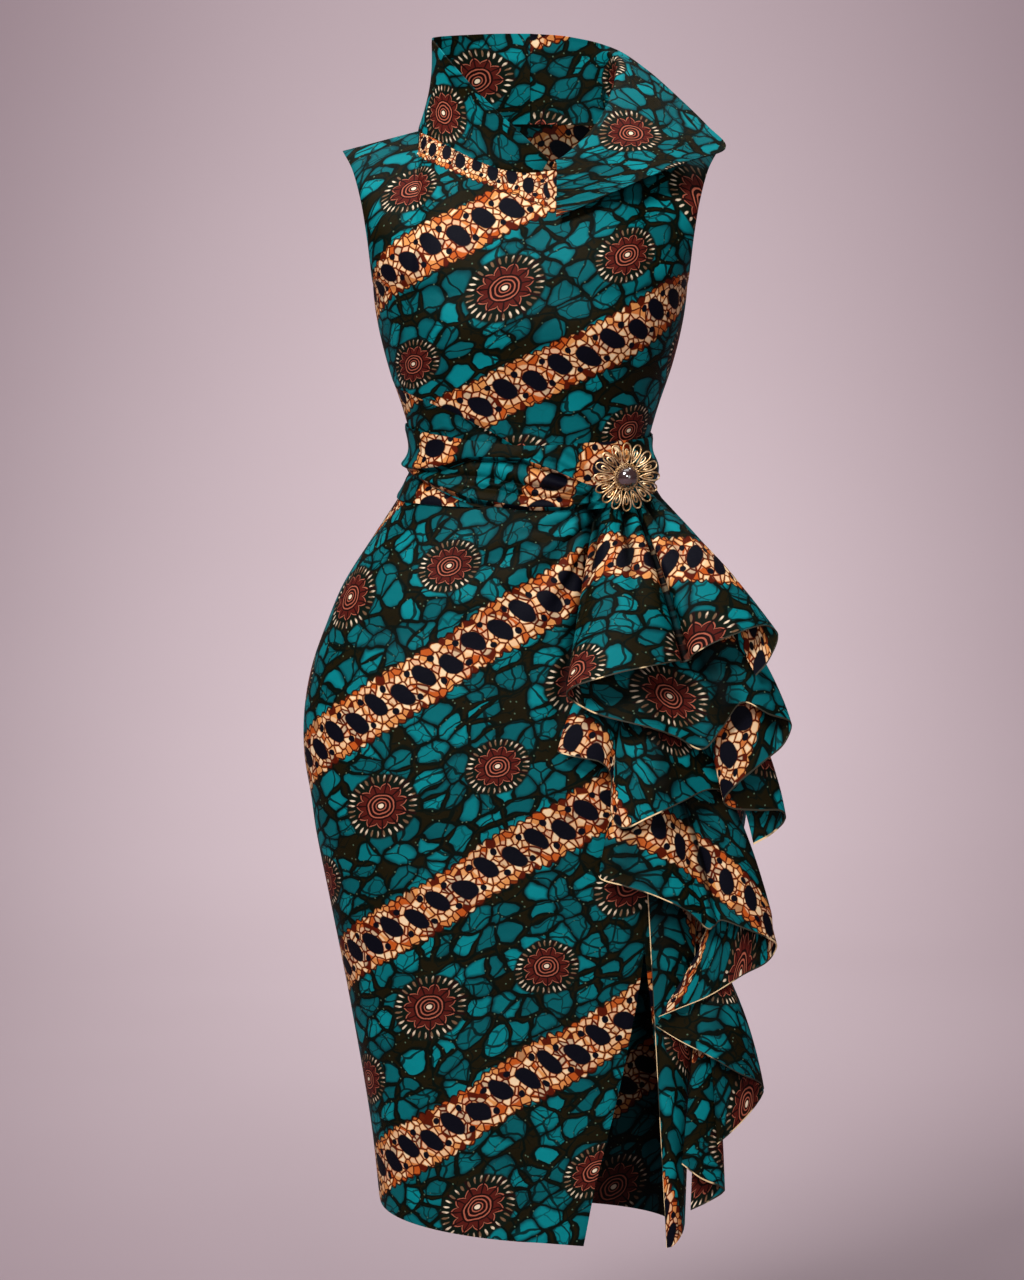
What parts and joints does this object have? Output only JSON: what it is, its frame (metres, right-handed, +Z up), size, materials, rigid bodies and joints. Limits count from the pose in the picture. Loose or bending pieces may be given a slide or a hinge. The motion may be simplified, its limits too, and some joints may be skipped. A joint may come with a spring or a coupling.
{
  "type": "wax print dress",
  "caption": "Sleeveless knee-length sheath dress in wax print with a wrapped wing collar, pleated waist sash, flower brooch, front slit and waterfall ruffle, worn and hollow.",
  "frame": {"origin": "midway between the two shoulders, at the height of the shoulder seams, where the wearer holds the dress up", "axes": "+Z up along the body, -Y the front, +X the wearer's left, which is the viewer's right and the brooch side"},
  "size_m": [0.4646, 0.3126, 1.1542],
  "materials": {
    "printed_cotton": "crisp waxed cotton with a soft sheen, teal crackle ground with cream, rust and navy bands",
    "old_gold": "antique gold, satin",
    "brown_pearl": "glossy dark brown pearl"
  },
  "bodies": {
    "root": {"bodice_front": "printed_cotton", "bodice_back_left": "printed_cotton", "bodice_back_right": "printed_cotton", "skirt_front": "printed_cotton", "skirt_side": "printed_cotton", "skirt_back_left": "printed_cotton", "skirt_back_right": "printed_cotton", "sash_front": "printed_cotton", "sash_back_left": "printed_cotton", "sash_back_right": "printed_cotton", "collar_left": "printed_cotton", "collar_right": "printed_cotton", "ruffle_upper": "printed_cotton", "ruffle_middle": "printed_cotton", "ruffle_lower": "printed_cotton", "ruffle_calf": "printed_cotton", "ruffle_foot": "printed_cotton", "ruffle_tail": "printed_cotton", "brooch_flower": "old_gold", "brooch_pearl": "brown_pearl"}
  },
  "joints": []
}
